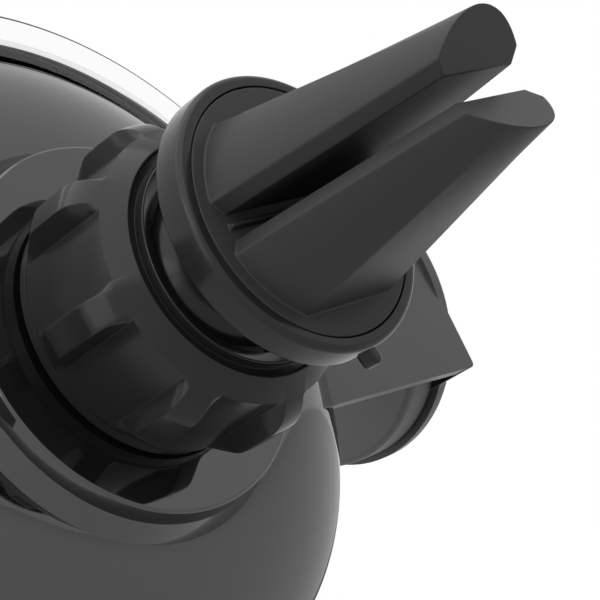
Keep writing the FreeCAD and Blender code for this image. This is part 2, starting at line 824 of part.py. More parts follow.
def dome_join(base, dome, edge_arc, back_arc):
    """Point where the back arc, through the boss's base, runs smoothly into the edge arc."""
    centre_x = dome - edge_arc
    centre_y = -dim("dome_edge_depth")
    apart = back_arc - edge_arc
    run_x = centre_x - base[0]
    run_y = centre_y - base[1]
    chord = root(run_x * run_x + run_y * run_y)
    along = (back_arc * back_arc - apart * apart + chord * chord) / (chord * 2)
    off = leg(back_arc, along)
    far_x = base[0] + (run_x * along + run_y * off) / chord
    far_y = base[1] + (run_y * along - run_x * off) / chord
    share = edge_arc / apart
    return centre_x + (centre_x - far_x) * share, centre_y + (centre_y - far_y) * share


# Chassis: the plate that closes the dome and backs the arms
def make_chassis():
    body = new_body("chassis")
    sketch = new_sketch(body, "plate", "XZ_Plane", chassis_back)
    circle(sketch, (0, 0), (cover_inner_radius - dim("chassis_edge_gap")))
    circle(sketch, (0, 0), dim("chassis_window"))
    for centre in bosses:
        circle(sketch, centre, dim("cover_screw_radius") + dim("screw_gap"))
    pad(body, "plate_pad", sketch, dim("chassis_thickness"))
    return body


# Arms: side is -1 for the arm at -X and 1 for the arm at +X
def make_arm(label, side):
    body = new_body(label)
    plate = new_sketch(body, "plate", "XZ_Plane", arm_back)
    near, far = dim("arm_tongue_inner"), dim("arm_tongue_outer")
    root_half = dim("arm_root_half_width")
    end_half = dim("arm_end_half_width")
    reach = dim("arm_reach")
    waist = dim("dome_radius")
    shoulder = arm_root_reach
    tip = arm_tongue_reach
    points = [
        (reach, -end_half), (reach, end_half), (waist, root_half), (shoulder, root_half), (shoulder, far),
        (tip, far), (tip, near), (shoulder, near), (shoulder, -root_half), (waist, -root_half)]
    outline(plate, [(x * side, z * (-side)) for x, z in points])
    pad(body, "plate_pad", plate, dim("arm_thickness"))
    wall = new_sketch(body, "wall", "XZ_Plane", arm_back)
    left, right = (wall_inner, reach) if side > 0 else (-reach, -wall_inner)
    rectangle(wall, left, right, -end_half, end_half)
    pad(body, "wall_pad", wall, dim("jaw_wall_depth") - arm_back)
    jaw = new_sketch(body, "jaw", "YZ_Plane", jaw_outer * side)
    circle(jaw, (-dim("jaw_depth"), 0), dim("jaw_radius"))
    jaw_pad = pad(body, "jaw_pad", jaw, dim("jaw_thickness"), reverse=side > 0)
    outer = jaw_outer.value * side

    def jaw_rim(curve):
        """The jaw's outer round edge."""
        box = curve.BoundBox
        return abs(box.XMin - outer) < 1e-3 and abs(box.XMax - outer) < 1e-3

    round_edges(body, "jaw_round", jaw_pad, edges_where(jaw_pad, jaw_rim), dim("jaw_edge_round"))
    hole = new_sketch(body, "pin_hole", "XZ_Plane", arm_back - 1)
    circle(hole, (pin_reach * side, dim("pin_height")), dim("pin_radius") + dim("pin_press_gap"))
    pocket(body, "pin_cut", hole, dim("arm_thickness") + 2, reverse=True)
    return body


# Grip pad: a D-shaped rubber pad with upright ribs, against the jaw's wall
def make_grip_pad(label, side):
    body = new_body(label)
    sketch = new_sketch(body, "pad_profile", "YZ_Plane", wall_inner * side)
    radius = dim("pad_radius")
    depth = dim("jaw_depth")
    flat = arm_front + dim("pad_arm_gap")
    half = leg(radius, depth - flat)
    corners = [(-flat, half), (-flat, -half), (-(depth + radius), 0)]
    outline(sketch, corners, {1: (radius, -1), 2: (radius, -1)})
    block = pad(body, "pad_body", sketch, dim("pad_thickness"), reverse=side > 0)
    face = (wall_inner.value - dim("pad_thickness").value) * side

    def face_rim(curve):
        """Both edges of the face that meets the phone."""
        box = curve.BoundBox
        return abs(box.XMin - face) < 1e-3 and abs(box.XMax - face) < 1e-3

    round_edges(body, "pad_rounding", block, edges_where(block, face_rim), dim("pad_round"))
    return body


# Cam pin: pressed into the arm, it runs in the foot's slanting slot
def make_cam_pin(label, side):
    pin = doc.addObject("Part::Cylinder", label)
    pin.Label = label
    pin.setExpression("Radius", dim("pin_radius").text)
    pin.setExpression("Height", (foot_front + dim("pin_proud") - arm_back).text)
    across = pin_reach * side
    height = dim("pin_height")
    pin.Placement = FreeCAD.Placement(
        Vector(across.value, -arm_back.value, height.value), FreeCAD.Rotation(Vector(1, 0, 0), 90))
    pin.setExpression("Placement.Base.x", across.text)
    pin.setExpression("Placement.Base.y", (-arm_back).text)
    pin.setExpression("Placement.Base.z", height.text)
    return pin


# Foot: the plate with the two slanting slots, its leg, and the shelf the phone stands on
def make_foot_slider():
    body = new_body("foot_slider")
    plate = new_sketch(body, "plate", "XZ_Plane", foot_back)
    shoulder = pin_reach + dim("pin_height") + dim("foot_shoulder")
    half = [
        (shoulder - foot_top, foot_top),
        (foot_side, shoulder - foot_side),
        (foot_side, foot_bottom + dim("foot_corner_cut")),
        (foot_side - dim("foot_corner_cut"), foot_bottom),
        (dim("foot_waist_half_width"), foot_bottom),
        (dim("foot_leg_half_width"), dim("foot_leg_height")),
        (dim("foot_leg_half_width"), dim("foot_shelf_height") - dim("foot_shelf_thickness")),
    ]
    outline(plate, half + [(-x, z) for x, z in reversed(half)])
    pad(body, "plate_pad", plate, dim("foot_thickness"))
    low = dim("foot_shelf_height") - dim("foot_shelf_thickness")
    shelf = new_sketch(body, "shelf", "XY_Plane", low)
    wide = dim("foot_shelf_half_width")
    corner = dim("foot_corner")
    outline(shelf, [
        (-dim("foot_leg_half_width"), -foot_back), (dim("foot_leg_half_width"), -foot_back),
        (wide, -(foot_back + corner)), (wide, -(dim("foot_shelf_end") - corner)),
        (wide - corner, -dim("foot_shelf_end")), (-(wide - corner), -dim("foot_shelf_end")),
        (-wide, -(dim("foot_shelf_end") - corner)), (-wide, -(foot_back + corner)),
    ], {3: (corner, 1), 5: (corner, 1)})
    pad(body, "shelf_pad", shelf, dim("foot_shelf_thickness"))
    lip = new_sketch(body, "lip", "XZ_Plane", dim("foot_shelf_end") - dim("foot_lip_thickness"))
    rectangle(lip, -(wide - corner), wide - corner, low, dim("foot_shelf_height") + dim("foot_lip_height"))
    pad(body, "lip_pad", lip, dim("foot_lip_thickness"))
    gusset = new_sketch(body, "gussets", "YZ_Plane", -dim("foot_gusset_across"))
    size = dim("foot_gusset")
    outline(gusset, [
        (-foot_front, dim("foot_shelf_height")), (-foot_front, dim("foot_shelf_height") + size),
        (-(foot_front + size), dim("foot_shelf_height"))])
    pad(body, "gusset_pad", gusset, dim("foot_gusset_across") * 2)
    slots = new_sketch(body, "cam_slots", "XZ_Plane", foot_back - 1)
    for side in (-1, 1):
        start = (pin_reach * side, dim("pin_height"))
        end = ((pin_reach - dim("arm_travel")) * side, dim("pin_height") + dim("arm_travel"))
        obround(slots, start, end, slot_radius)
    pocket(body, "cam_cut", slots, dim("foot_thickness") + 2, reverse=True)
    pegs = new_sketch(body, "pegs", "XZ_Plane", foot_front)
    for side in (-1, 1):
        circle(pegs, (dim("spring_offset") * side, dim("spring_foot_height")), dim("spring_peg_radius"))
    pad(body, "peg", pegs, dim("spring_peg_length"))
    return body


# Foot pad: the rubber sole the phone's edge stands on
def make_foot_pad():
    body = new_body("foot_pad")
    sole = new_sketch(body, "sole", "XY_Plane", dim("foot_shelf_height"))
    inset = dim("foot_pad_inset")
    half = dim("foot_shelf_half_width") - inset
    near = foot_front + dim("foot_gusset") + 0.3
    far = dim("foot_shelf_end") - dim("foot_lip_thickness") - 0.2
    rectangle(sole, -half, half, -far, -near)
    pad(body, "sole_pad", sole, dim("foot_pad_thickness"))
    return body


# Return spring: a coil hung from the cover's peg to the foot's peg
def make_spring(label, side):
    low = dim("spring_foot_height")
    high = spring_top_height
    middle = foot_front + dim("spring_peg_length") * 0.5
    ring = dim("spring_peg_radius") + dim("spring_wire_radius") + 0.05
    coil = dim("spring_coil_radius")
    start = low + ring
    end = high - ring
    helix = doc.addObject("Part::Helix", f"{label}_path")
    helix.Pitch = (end.value - start.value) / dim("spring_turns").value
    helix.Height = end.value - start.value
    helix.Radius = coil.value
    helix.setExpression("Pitch", ((end - start) / dim("spring_turns")).text)
    helix.setExpression("Height", (end - start).text)
    helix.setExpression("Radius", coil.text)
    wire = doc.addObject("Part::Circle", f"{label}_wire")
    wire.Radius = dim("spring_wire_radius").value
    wire.setExpression("Radius", dim("spring_wire_radius").text)
    wire.Placement = FreeCAD.Placement(Vector(coil.value, 0, 0), FreeCAD.Rotation(Vector(1, 0, 0), 90))
    wire.setExpression("Placement.Base.x", coil.text)
    doc.recompute()
    sweep = doc.addObject("Part::Sweep", f"{label}_coil")
    sweep.Sections = [wire]
    sweep.Spine = (helix, ["Edge1"])
    sweep.Solid = True
    sweep.Frenet = True
    sweep.Placement = FreeCAD.Placement(
        Vector(dim("spring_offset").value * side, -middle.value, start.value), FreeCAD.Rotation())
    sweep.setExpression("Placement.Base.x", (dim("spring_offset") * side).text)
    sweep.setExpression("Placement.Base.y", (-middle).text)
    sweep.setExpression("Placement.Base.z", start.text)
    eyes = []
    for name, height in (("low", low), ("high", high)):
        eye = doc.addObject("Part::Torus", f"{label}_{name}_eye")
        eye.setExpression("Radius1", ring.text)
        eye.setExpression("Radius2", dim("spring_wire_radius").text)
        eye.Placement = FreeCAD.Placement(
            Vector(dim("spring_offset").value * side, -middle.value, height.value),
            FreeCAD.Rotation(Vector(1, 0, 0), 90))
        eye.setExpression("Placement.Base.x", (dim("spring_offset") * side).text)
        eye.setExpression("Placement.Base.y", (-middle).text)
        eye.setExpression("Placement.Base.z", height.text)
        eyes.append(eye)
    for name, height in (("low", start), ("high", end)):
        bridge = doc.addObject("Part::Cylinder", f"{label}_{name}_bridge")
        bridge.setExpression("Radius", (dim("spring_wire_radius") * 0.85).text)
        bridge.setExpression("Height", (coil + 0.1).text)
        bridge.Placement = FreeCAD.Placement(
            Vector(dim("spring_offset").value * side - 0.1, -middle.value, height.value),
            FreeCAD.Rotation(Vector(0, 1, 0), 90))
        bridge.setExpression("Placement.Base.x", (dim("spring_offset") * side - 0.1).text)
        bridge.setExpression("Placement.Base.y", (-middle).text)
        bridge.setExpression("Placement.Base.z", height.text)
        eyes.append(bridge)
    spring = doc.addObject("Part::MultiFuse", label)
    spring.Label = label
    spring.Shapes = [sweep] + eyes
    doc.recompute()
    return spring


# Front cover: the round tray that holds the works, with the brow across its top
def make_front_cover():
    body = new_body("front_cover")
    sketch = new_sketch(body, "cover_profile", "XY_Plane")
    radius = dim("dome_radius")
    front = cover_front_depth
    rounding = dim("cover_edge_round")
    recess = face_pad_radius + dim("face_pad_gap")
    outline(sketch, [
        (cover_inner_radius, -cover_back), (cover_inner_radius, -cover_floor_depth), (0, -cover_floor_depth),
        (0, -(front - dim("face_recess"))), (recess, -(front - dim("face_recess"))), (recess, -front),
        (radius - rounding, -front), (radius, -(front - rounding)), (radius, -cover_back),
    ], {6: (rounding, 1)})
    revolve(body, "cover", sketch)
    brow = new_sketch(body, "brow_profile", "YZ_Plane")
    outer = brow_radius
    inner = outer - dim("brow_wall")
    outline(brow, [
        (-cover_floor_depth, cover_inner_radius), (-front, cover_inner_radius), (-front, outer - rounding),
        (-(front - rounding), outer), (-dim("brow_back_depth"), outer), (-dim("brow_back_depth"), inner),
        (-cover_floor_depth, inner),
    ], {2: (rounding, -1)})
    revolve_sector(body, "brow", brow, dim("brow_sweep"))
    posts = new_sketch(body, "posts", "XZ_Plane", chassis_front)
    for centre in bosses:
        circle(posts, centre, dim("screw_boss_radius"))
    pad(body, "post", posts, cover_floor_depth - chassis_front)
    pegs = new_sketch(body, "pegs", "XZ_Plane", foot_front + dim("foot_gap"))
    for side in (-1, 1):
        circle(pegs, (dim("spring_offset") * side, spring_top_height), dim("spring_peg_radius"))
    pad(body, "peg", pegs, cover_floor_depth - foot_front - dim("foot_gap"))
    gap = dim("arm_slot_gap")
    for side, name in ((-1, "left"), (1, "right")):
        slot = new_sketch(body, f"{name}_arm_slot", "XZ_Plane", cover_back - 1)
        half = dim("arm_end_half_width") + gap
        near, far = leg(cover_inner_radius, half) - 1, radius + 1
        if side > 0:
            rectangle(slot, near, far, -half, half)
        else:
            rectangle(slot, -far, -near, -half, half)
        pocket(body, f"{name}_arm_cut", slot, arm_front + gap - cover_back + 1, reverse=True)
    slot = new_sketch(body, "leg_slot", "XZ_Plane", foot_back - gap)
    half = dim("foot_leg_half_width") + gap
    rectangle(slot, -half, half, -(radius + 1), -(cover_inner_radius - 2))
    pocket(body, "leg_cut", slot, dim("foot_thickness") + gap * 2, reverse=True)
    holes = new_sketch(body, "screw_holes", "XZ_Plane", chassis_front - 1)
    for centre in bosses:
        circle(holes, centre, dim("cover_screw_radius") + dim("screw_gap"))
    pocket(body, "screw_cut", holes, front - chassis_front + 2, reverse=True)
    seat_depth = front - dim("face_recess") - dim("cover_screw_head_height")
    seats = new_sketch(body, "screw_seats", "XZ_Plane", seat_depth)
    for centre in bosses:
        circle(seats, centre, dim("cover_screw_head_radius") + 0.15)
    pocket(body, "seat_cut", seats, dim("cover_screw_head_height") + 1, reverse=True)
    return body


def make_cover_screws():
    """Four like screws as one group of separate solids."""
    seat = cover_front_depth.value - dim("face_recess").value - dim("cover_screw_head_height").value
    tip = dim("cover_screw_tip_depth").value
    shank_radius = dim("cover_screw_radius").value
    head_radius = dim("cover_screw_head_radius").value
    head_height = dim("cover_screw_head_height").value - 0.1
    away = Vector(0, -1, 0)
    solids = []
    for across, height in bosses:
        shank = Part.makeCylinder(shank_radius, seat - tip, Vector(across.value, -tip, height.value), away)
        head = Part.makeCylinder(head_radius, head_height, Vector(across.value, -seat, height.value), away)
        solids.append(shank.fuse(head).removeSplitter())
    group = doc.addObject("Part::Feature", "cover_screws")
    group.Label = "cover_screws"
    group.Shape = Part.makeCompound(solids)
    return group


def make_face_pad():
    body = new_body("face_pad")
    sketch = new_sketch(body, "pad_profile", "XY_Plane")
    back = cover_front_depth - dim("face_recess")
    front = back + dim("face_pad_thickness")
    radius = face_pad_radius
    outline(sketch, [
        (0, -back), (radius, -back), (radius, -(front - 0.4)), (radius - 0.4, -front), (0, -front)])
    revolve(body, "pad_disc", sketch)
    return body


# Brow trim: a wide bevelled plated strip that caps the brow's edge and reaches in to the dome
def make_brow_trim():
    body = new_body("brow_trim")
    sketch = new_sketch(body, "trim_profile", "YZ_Plane")
    gap = dim("trim_gap")
    lip = dim("trim_flange")
    wall_out = brow_radius + gap
    wall_in = brow_radius - dim("brow_wall") - gap
    seat = dim("brow_back_depth")
    skirt = dim("trim_skirt_depth")
    inner = dim("trim_inner_radius")
    front = dim("trim_inner_depth")
    lip_back = front + dim("trim_lip_thickness")
    outline(sketch, [
        (-front, inner),
        (-dim("trim_outer_depth"), wall_out + lip),
        (-skirt, wall_out + lip),
        (-skirt, wall_out),
        (-seat, wall_out),
        (-seat, wall_in),
        (-skirt, wall_in),
        (-skirt, wall_in - lip),
        (-lip_back, wall_in - lip),
        (-lip_back, inner),
    ])
    revolve_sector(body, "trim", sketch, dim("brow_sweep"))
    return body


PIECES = [
    make_clip_insert(),
    make_clip_ring(),
    make_ball_stud(),
    make_stud_screw(),
    make_ball_seat(),
    make_seat_washer(),
    make_ball_socket(),
    make_socket_screws(),
    make_clamp_nut(),
    make_rear_shell(),
    make_chassis(),
    make_arm("left_arm", -1),
    make_arm("right_arm", 1),
    make_grip_pad("left_grip_pad", -1),
    make_grip_pad("right_grip_pad", 1),
    make_cam_pin("left_cam_pin", -1),
    make_cam_pin("right_cam_pin", 1),
    make_foot_slider(),
    make_foot_pad(),
    make_spring("left_spring", -1),
    make_spring("right_spring", 1),
    make_front_cover(),
    make_cover_screws(),
    make_face_pad(),
    make_brow_trim(),
]

doc.recompute()
for item in doc.Objects:
    if "Invalid" in item.State or "Error" in item.State:
        raise RuntimeError(f"{item.Label} failed: {item.State}")
for piece in PIECES:
    if piece.Shape.isNull() or not piece.Shape.isValid():
        raise RuntimeError(f"{piece.Label} has no valid shape")
os.makedirs("parts", exist_ok=True)
for piece in PIECES:
    piece.Shape.exportStep(os.path.join("parts", f"{piece.Label}.step"))
    print(piece.Label, len(piece.Shape.Solids), round(piece.Shape.Volume, 1))
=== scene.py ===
import math

import bmesh
import bpy
import numpy as np
from mathutils import Matrix, Vector


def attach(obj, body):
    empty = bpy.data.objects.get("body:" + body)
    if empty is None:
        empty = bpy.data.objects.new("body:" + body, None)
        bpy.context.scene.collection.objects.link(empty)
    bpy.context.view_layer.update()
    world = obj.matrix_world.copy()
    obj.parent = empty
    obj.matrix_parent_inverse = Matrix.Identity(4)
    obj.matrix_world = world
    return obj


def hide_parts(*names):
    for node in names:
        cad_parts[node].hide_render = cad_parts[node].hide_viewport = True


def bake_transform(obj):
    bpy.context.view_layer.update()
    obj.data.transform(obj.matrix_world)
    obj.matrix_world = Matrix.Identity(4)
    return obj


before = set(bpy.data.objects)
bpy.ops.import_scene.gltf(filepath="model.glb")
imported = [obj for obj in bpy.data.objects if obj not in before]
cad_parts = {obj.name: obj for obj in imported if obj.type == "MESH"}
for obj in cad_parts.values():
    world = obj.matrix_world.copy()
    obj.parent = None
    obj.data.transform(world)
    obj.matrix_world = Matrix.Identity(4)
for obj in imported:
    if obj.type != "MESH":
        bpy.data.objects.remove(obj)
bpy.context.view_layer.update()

# Sizes are in millimetres and angles in degrees. The turned pieces share one axis, the prongs' line. A point
# of a profile is (radius from that line, depth from the clip's face towards the driver), with the corner's
# rounding third if it has one.
mm = 0.001


def addObject(name, data):
    item = bpy.data.objects.new(name, data)
    bpy.context.scene.collection.objects.link(item)
    return item


def roundedProfile(corners, steps, closed=True):
    # Each corner (radius, depth, rounding) becomes an arc tangent to both sides: its centre lies on the
    # corner's bisector, rounding / sin(half angle) away, and the points turn evenly round it.
    mostOfSide = 0.49
    places = np.array([corner[:2] for corner in corners], float)
    count = len(places)
    stretches = []
    for i, (_, _, rounding) in enumerate(corners):
        here = places[i]
        if rounding == 0 or (not closed and i in (0, count - 1)):
            stretches.append(here[None, :])
            continue
        back = places[(i - 1) % count] - here
        ahead = places[(i + 1) % count] - here
        backLength, aheadLength = np.linalg.norm(back), np.linalg.norm(ahead)
        back, ahead = back / backLength, ahead / aheadLength
        half = math.acos(max(-1, min(1, float(back @ ahead)))) / 2
        cut = min(rounding / math.tan(half), mostOfSide * backLength, mostOfSide * aheadLength)
        centre = here + (back + ahead) / np.linalg.norm(back + ahead) * (cut / math.cos(half))
        start = here + back * cut - centre
        end = here + ahead * cut - centre
        turn = math.atan2(start[0] * end[1] - start[1] * end[0], float(start @ end))
        angle = np.linspace(0, 1, steps + 1)[:, None] * turn
        cos, sin = np.cos(angle), np.sin(angle)
        arc = np.hstack([start[0] * cos - start[1] * sin, start[0] * sin + start[1] * cos])
        stretches.append(centre + arc)
    return np.vstack(stretches)


def gridMesh(name, points, closeRows=False, closeColumns=False):
    # points: (rows, columns, 3). Each cell is one face, and the last row or column may run on into the first.
    rows, columns = points.shape[:2]
    row, column = np.meshgrid(np.arange(rows if closeRows else rows - 1),
                              np.arange(columns if closeColumns else columns - 1), indexing="ij")
    nextRow, nextColumn = (row + 1) % rows, (column + 1) % columns
    cells = np.stack([row * columns + column, nextRow * columns + column,
                      nextRow * columns + nextColumn, row * columns + nextColumn], -1).reshape(-1, 4)
    mesh = bpy.data.meshes.new(name)
    mesh.vertices.add(rows * columns)
    mesh.vertices.foreach_set("co", (points.reshape(-1) * mm).astype(np.float32))
    mesh.loops.add(cells.size)
    mesh.loops.foreach_set("vertex_index", cells.reshape(-1).astype(np.int32))
    mesh.polygons.add(len(cells))
    mesh.polygons.foreach_set("loop_start", (np.arange(len(cells)) * 4).astype(np.int32))
    mesh.update(calc_edges=True)
    mesh.validate()
    return addObject(name, mesh)


def lathe(name, profile, segments, start=0.0, sweep=360.0):
    # A closed profile turned about the prongs' line: x = radius cos angle, y = -depth, z = radius sin angle.
    full = sweep >= 360
    angle = np.radians(start + np.linspace(0, sweep, segments, endpoint=not full))[:, None]
    radius = profile[:, 0][None, :]
    depth = np.broadcast_to(profile[:, 1], (segments, len(profile)))
    points = np.stack([radius * np.cos(angle), -depth, radius * np.sin(angle)], -1)
    return gridMesh(name, points, closeRows=full, closeColumns=True)


def sector(name, profile, segments, sweep):
    # A lathed part of a turn, centred on straight up, with its two open ends filled.
    piece = lathe(name, profile, segments, 90 - sweep / 2, sweep)
    work = bmesh.new()
    work.from_mesh(piece.data)
    bmesh.ops.holes_fill(work, edges=[edge for edge in work.edges if len(edge.link_faces) == 1])
    work.to_mesh(piece.data)
    work.free()
    facingOut(piece)
    return piece


def shadeSmooth(mesh, crisp):
    # Edges steeper than crisp stay sharp, and the rest are shaded smooth.
    mesh.polygons.foreach_set("use_smooth", np.ones(len(mesh.polygons), bool))
    mesh.set_sharp_from_angle(angle=math.radians(crisp))


def facingOut(piece, crisp=40, merge=0.001):
    # Points closer than merge become one, and the faces are turned outwards.
    work = bmesh.new()
    work.from_mesh(piece.data)
    bmesh.ops.remove_doubles(work, verts=work.verts, dist=merge * mm)
    bmesh.ops.recalc_face_normals(work, faces=work.faces)
    work.to_mesh(piece.data)
    work.free()
    shadeSmooth(piece.data, crisp)


def settle(piece, material, slot, body, *nodes):
    # The piece takes its finish, stands for the nodes given, if any, and rides on its body.
    piece.data.materials.append(material)
    if nodes:
        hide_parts(*nodes)
    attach(piece, body)


def newMaterial(name):
    material = bpy.data.materials.new(name)
    material.use_nodes = True
    nodes, links = material.node_tree.nodes, material.node_tree.links
    return material, nodes, links, nodes["Principled BSDF"]


def addNoise(nodes, links, place, scale, detail):
    noise = nodes.new("ShaderNodeTexNoise")
    noise.inputs["Scale"].default_value = scale
    noise.inputs["Detail"].default_value = detail
    links.new(place, noise.inputs["Vector"])
    return noise.outputs["Fac"]


def varyRoughness(nodes, links, source, roughness, shares, shader):
    # The roughness runs from its low share to its high share as the source runs from 0 to 1.
    low, high = shares
    between = nodes.new("ShaderNodeMapRange")
    between.inputs["To Min"].default_value = roughness * low
    between.inputs["To Max"].default_value = roughness * high
    links.new(source, between.inputs["Value"])
    links.new(between.outputs["Result"], shader.inputs["Roughness"])


def addBump(nodes, links, source, strength, height, shader):
    bump = nodes.new("ShaderNodeBump")
    bump.inputs["Strength"].default_value = strength
    bump.inputs["Distance"].default_value = height * mm
    links.new(source, bump.inputs["Height"])
    links.new(bump.outputs["Normal"], shader.inputs["Normal"])


# The drift is given as shares of the finish's own colour and roughness.
plasticDrift = {
    "tint": (0.88, 1.12), "roughness": (0.88, 1.14), "detail": 3, "grainDetail": 2, "grainHeight": 0.04,
}
metalWave = {"roughness": (0.7, 1.4), "detail": 2, "height": 0.05}
plastics = {
    "gloss": {"colour": (0.006, 0.006, 0.0063), "roughness": 0.05, "specular": 1.0, "driftScale": 60,
              "grainScale": 2500, "grain": 0.02},
    "satin": {"colour": (0.019, 0.019, 0.0195), "roughness": 0.17, "specular": 0.26, "driftScale": 90,
              "grainScale": 3200, "grain": 0.03},
    "silk": {"colour": (0.068, 0.068, 0.069), "roughness": 0.34, "specular": 0.5, "driftScale": 90,
             "grainScale": 3200, "grain": 0.06},
    "matt": {"colour": (0.041, 0.041, 0.0415), "roughness": 0.45, "specular": 0.2, "driftScale": 90,
             "grainScale": 3200, "grain": 0.06},
    "plain": {"colour": (0.010, 0.010, 0.010), "roughness": 0.4, "specular": 0.5, "driftScale": 90,
              "grainScale": 3000, "grain": 0.15},
    "rubber": {"colour": (0.085, 0.085, 0.085), "roughness": 0.5, "specular": 0.8, "driftScale": 120,
               "grainScale": 4200, "grain": 0.25},
}
metals = {
    "chrome": {"colour": (0.965, 0.965, 0.965), "roughness": 0.05, "waveScale": 40, "wave": 0.02},
    "steel": {"colour": (0.55, 0.55, 0.56), "roughness": 0.28, "waveScale": 600, "wave": 0.1},
}


def mouldedPlastic(name, finish):
    # Colour and roughness drift slowly over the piece, and a fine grain stands in the bump.
    material, nodes, links, shader = newMaterial(name)
    place = nodes.new("ShaderNodeTexCoord").outputs["Object"]
    drift = addNoise(nodes, links, place, finish["driftScale"], plasticDrift["detail"])
    tint = nodes.new("ShaderNodeMix")
    tint.data_type = "RGBA"
    factor, dark, light = tint.inputs[0], tint.inputs[6], tint.inputs[7]  # its sockets for colours
    darkShare, lightShare = plasticDrift["tint"]
    dark.default_value = [part * darkShare for part in finish["colour"]] + [1]
    light.default_value = [part * lightShare for part in finish["colour"]] + [1]
    links.new(drift, factor)
    links.new(tint.outputs[2], shader.inputs["Base Color"])
    varyRoughness(nodes, links, drift, finish["roughness"], plasticDrift["roughness"], shader)
    grain = addNoise(nodes, links, place, finish["grainScale"], plasticDrift["grainDetail"])
    addBump(nodes, links, grain, finish["grain"], plasticDrift["grainHeight"], shader)
    shader.inputs["Specular IOR Level"].default_value = finish["specular"]
    return material


def brightMetal(name, finish):
    # Plating or steel: one pale colour, with a faint waviness in the roughness and the bump.
    material, nodes, links, shader = newMaterial(name)
    place = nodes.new("ShaderNodeTexCoord").outputs["Object"]
    wave = addNoise(nodes, links, place, finish["waveScale"], metalWave["detail"])
    varyRoughness(nodes, links, wave, finish["roughness"], metalWave["roughness"], shader)
    addBump(nodes, links, wave, finish["wave"], metalWave["height"], shader)
    shader.inputs["Base Color"].default_value = (*finish["colour"], 1)
    shader.inputs["Metallic"].default_value = 1
    return material


glossBlack = mouldedPlastic("glossBlack", plastics["gloss"])
satinBlack = mouldedPlastic("satinBlack", plastics["satin"])
silkBlack = mouldedPlastic("silkBlack", plastics["silk"])
mattBlack = mouldedPlastic("mattBlack", plastics["matt"])
plainBlack = mouldedPlastic("plainBlack", plastics["plain"])
gripRubber = mouldedPlastic("gripRubber", plastics["rubber"])
chrome = brightMetal("chrome", metals["chrome"])
steel = brightMetal("steel", metals["steel"])

# The frame's own pieces that show as they are, and the springs' coils, which makeSpring copies.
nodeFinish = {
    "ball_stud": satinBlack,
    "stud_screw": steel,
    "ball_seat": plainBlack,
    "seat_washer": plainBlack,
    "ball_socket": plainBlack,
    "socket_screws": steel,
    "chassis": plainBlack,
    "left_grip_pad": gripRubber,
    "right_grip_pad": gripRubber,
    "left_cam_pin": steel,
    "right_cam_pin": steel,
    "foot_pad": gripRubber,
    "left_spring": steel,
    "right_spring": steel,
    "cover_screws": steel,
    "face_pad": gripRubber,
}
for node, material in nodeFinish.items():
    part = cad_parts[node]
    if not part.material_slots:
        part.data.materials.append(material)
    for materialSlot in part.material_slots:
        materialSlot.material = material
print("finishes set on the frame's own pieces")

shellPiece = {
    # the boss: its hole and mirror-like floor, the lip round it, and the wall down to the dome
    "hole": 9.75, "floorDepth": 19.2, "floorRound": 0.15,
    "lip": (14.8, 19.12, 0.28), "step": (15.05, 20.9, 0.9), "base": (16.05, 22.65), "headSteps": 7,
    # the dome's two arcs
    "backArc": 18.0, "backPoints": 40, "edge": 27.0, "edgeDepth": 27.7, "edgeArc": 0.4, "edgePoints": 16,
    # the rim, with a thin bead that stands out from it: (radius, rounding) of the bead's two edges
    "rimDepth": 28.15, "rimSteps": 5, "wall": 1.7,
    "bead": {"inner": (27.06, 0.1), "outer": (27.38, 0.16), "depth": 27.88, "back": 28.3, "foot": 0.02},
    # the wall's inside, from the rim back to the boss
    "inside": {"rim": 27.0, "turnIn": 2.0, "turnDepth": 26.2, "wellOuter": 14.3, "wellInner": 13.3,
               "wellDepth": 24.6, "floorBack": 20.8},
    "segments": 320,
}


def heading(run):
    # The angle at which a run of (radius, depth) points.
    return math.atan2(run[1], run[0])


def arcPoints(centre, radius, start, end, count):
    # Points at even angles, from start to end: centre + radius (cos angle, sin angle).
    angle = np.linspace(start, end, count)
    return centre + radius * np.stack([np.cos(angle), np.sin(angle)], -1)


def domeOutline(sizes):
    # Two arcs: one of backArc through the boss's base, and one of edgeArc that ends upright at the rim.
    # They meet where the line of their centres crosses the smaller arc.
    backArc, edgeArc = sizes["backArc"], sizes["edgeArc"]
    near = np.array([sizes["edge"] - edgeArc, sizes["edgeDepth"]])
    base = np.array(sizes["base"])
    run = near - base
    chord = np.linalg.norm(run)
    apart = backArc - edgeArc
    along = (backArc ** 2 - apart ** 2 + chord ** 2) / (2 * chord)
    off = math.sqrt(backArc ** 2 - along ** 2)
    far = base + (run * along + np.array([-run[1], run[0]]) * off) / chord
    meet = near + (near - far) * edgeArc / apart
    back = arcPoints(far, backArc, heading(base - far), heading(meet - far), sizes["backPoints"])
    edge = arcPoints(near, edgeArc, heading(meet - near), 0.0, sizes["edgePoints"])
    return np.vstack([back, edge[1:]])


